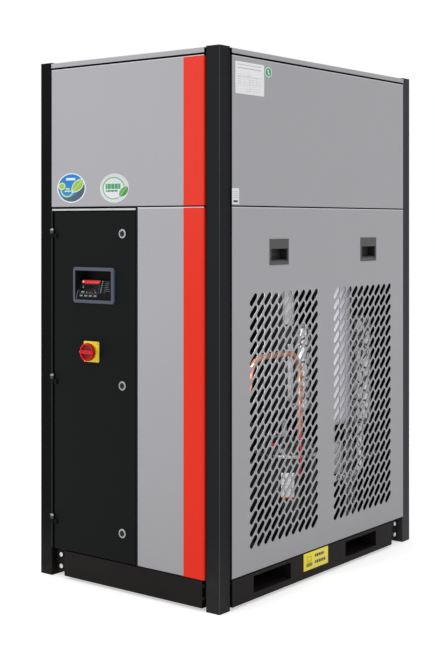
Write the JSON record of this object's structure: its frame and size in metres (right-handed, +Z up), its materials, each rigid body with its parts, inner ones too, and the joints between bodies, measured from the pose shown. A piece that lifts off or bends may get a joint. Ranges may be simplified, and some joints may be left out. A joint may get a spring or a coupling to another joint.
{
  "type": "refrigerated air dryer",
  "caption": "Floor-standing refrigerated compressed-air dryer cabinet with post frame, perforated service panels, electrical door with controller and rotary main switch, and fork pockets.",
  "frame": {"origin": "on the floor under the middle of the four corner posts", "axes": "+Z up, -Y is the front with the electrical door, +X the right service panel"},
  "size_m": [0.725, 1.153, 1.6],
  "materials": {
    "post_black": "textured powder coat",
    "beam_black": "textured powder coat",
    "panel_grey": "textured powder coat",
    "door_black": "textured powder coat",
    "galvanised": "zinc plated",
    "inner_black": "powder coat",
    "hinge_black": "powder coat",
    "chrome": "polished",
    "black_plastic": "moulded",
    "pocket_plastic": "moulded",
    "bezel_plastic": "moulded",
    "console_black": "film",
    "key_grey": "moulded",
    "switch_yellow": "moulded",
    "switch_red": "moulded",
    "tab_grey": "moulded",
    "rubber": "moulded",
    "switchgear_grey": "moulded",
    "compressor_black": "gloss enamel",
    "aluminium_fins": "pressed fins",
    "fan_black": "painted",
    "foil": "crumpled foil",
    "copper": "drawn copper tube",
    "foam": "closed-cell foam",
    "filter_white": "gloss enamel",
    "cast_aluminium": "cast",
    "steel_pipe": "galvanised pipe",
    "drain_grey": "moulded",
    "lever_red": "vinyl-dipped"
  },
  "bodies": {
    "cabinet": {"corner_posts": "post_black", "end_base_beams": "beam_black", "side_base_beams": "beam_black", "corner_brackets": "beam_black", "base_bolts": "galvanised", "fork_channels": "beam_black", "floor_pan": "inner_black", "top_rails": "inner_black", "middle_rails": "inner_black", "equipment_deck": "inner_black", "top_cover": "panel_grey", "front_upper_panel": "panel_grey", "front_lower_panel": "panel_grey", "side_upper_panels": "panel_grey", "rear_upper_panel": "panel_grey", "rear_lower_panel": "panel_grey", "panel_catches": "black_plastic", "door_frame": "door_black", "door_gasket": "rubber", "frame_hinges": "hinge_black", "electrical_enclosure": "inner_black", "switchgear": "switchgear_grey", "compressor": "compressor_black", "compressor_mounts": "rubber", "condenser_coil": "aluminium_fins", "fan_shroud": "inner_black", "fan_motors": "fan_black", "liquid_receiver": "compressor_black", "accumulator": "foil", "refrigerant_pipes": "copper", "heat_exchanger": "foam", "filter_heads": "cast_aluminium", "filter_bowls": "filter_white", "moisture_separator": "foil", "air_pipes": "steel_pipe", "condensate_drains": "drain_grey", "cable_gland": "black_plastic"},
    "door": {"door": "door_black", "door_knuckles": "door_black", "lock_bodies": "chrome", "controller_bezel": "bezel_plastic", "control_panel": "console_black", "switch_plate": "switch_yellow", "switch_body": "black_plastic"},
    "top_lock": {"top_lock_core": "black_plastic"},
    "middle_lock": {"middle_lock_core": "black_plastic"},
    "bottom_lock": {"bottom_lock_core": "black_plastic"},
    "switch_handle": {"switch_knob": "switch_red"},
    "padlock_slide": {"padlock_tab": "tab_grey"},
    "key_1_cap": {"key_1": "key_grey"},
    "key_2_cap": {"key_2": "key_grey"},
    "key_3_cap": {"key_3": "key_grey"},
    "key_4_cap": {"key_4": "key_grey"},
    "right_panel": {"right_service_panel": "panel_grey", "right_pull_pockets": "pocket_plastic"},
    "left_panel": {"left_service_panel": "panel_grey", "left_pull_pockets": "pocket_plastic"},
    "lower_wheel": {"lower_fan": "fan_black"},
    "upper_wheel": {"upper_fan": "fan_black"},
    "drain_lever": {"valve_lever": "lever_red"}
  },
  "joints": [
    {"name": "door_swing", "type": "hinge", "parent": "cabinet", "child": "door", "pos_m": [-0.2925, -0.55, 0.64], "axis": [0, 0, -1], "range_deg": [0, 110]},
    {"name": "bottom_lock_turn", "type": "hinge", "parent": "door", "child": "bottom_lock", "pos_m": [-0.005, -0.545, 0.176], "axis": [0, 1, 0], "range_deg": [0, 90]},
    {"name": "middle_lock_turn", "type": "hinge", "parent": "door", "child": "middle_lock", "pos_m": [-0.005, -0.545, 0.615], "axis": [0, 1, 0], "range_deg": [0, 90]},
    {"name": "top_lock_turn", "type": "hinge", "parent": "door", "child": "top_lock", "pos_m": [-0.005, -0.545, 1.0675], "axis": [0, 1, 0], "range_deg": [0, 90]},
    {"name": "main_switch_turn", "type": "hinge", "parent": "door", "child": "switch_handle", "pos_m": [-0.1305, -0.545, 0.709], "axis": [0, 1, 0], "range_deg": [0, 90]},
    {"name": "padlock_tab_slide", "type": "slide", "parent": "switch_handle", "child": "padlock_slide", "axis": [-1, 0, 0], "range_m": [0, 0.006]},
    {"name": "key_1_press", "type": "slide", "parent": "door", "child": "key_1_cap", "axis": [0, 0.9533, -0.3019], "range_m": [0, 0.0008], "stiffness_N_per_m": 900, "springref_m": -0.0004},
    {"name": "key_2_press", "type": "slide", "parent": "door", "child": "key_2_cap", "axis": [0, 0.9533, -0.3019], "range_m": [0, 0.0008], "stiffness_N_per_m": 900, "springref_m": -0.0004},
    {"name": "key_3_press", "type": "slide", "parent": "door", "child": "key_3_cap", "axis": [0, 0.9533, -0.3019], "range_m": [0, 0.0008], "stiffness_N_per_m": 900, "springref_m": -0.0004},
    {"name": "key_4_press", "type": "slide", "parent": "door", "child": "key_4_cap", "axis": [0, 0.9533, -0.3019], "range_m": [0, 0.0008], "stiffness_N_per_m": 900, "springref_m": -0.0004},
    {"name": "right_panel_pull_off", "type": "slide", "parent": "cabinet", "child": "right_panel", "axis": [1, 0, 0], "range_m": [0, 0.2]},
    {"name": "left_panel_pull_off", "type": "slide", "parent": "cabinet", "child": "left_panel", "axis": [-1, 0, 0], "range_m": [0, 0.2]},
    {"name": "lower_fan_spin", "type": "hinge", "parent": "cabinet", "child": "lower_wheel", "pos_m": [-0.234, 0.135, 0.35], "axis": [1, 0, 0], "continuous": true},
    {"name": "upper_fan_spin", "type": "hinge", "parent": "cabinet", "child": "upper_wheel", "pos_m": [-0.234, 0.135, 0.83], "axis": [1, 0, 0], "continuous": true},
    {"name": "drain_lever_turn", "type": "hinge", "parent": "cabinet", "child": "drain_lever", "pos_m": [0.235, 0.566, 0.305], "axis": [0, 0, -1], "range_deg": [0, 90]}
  ]
}
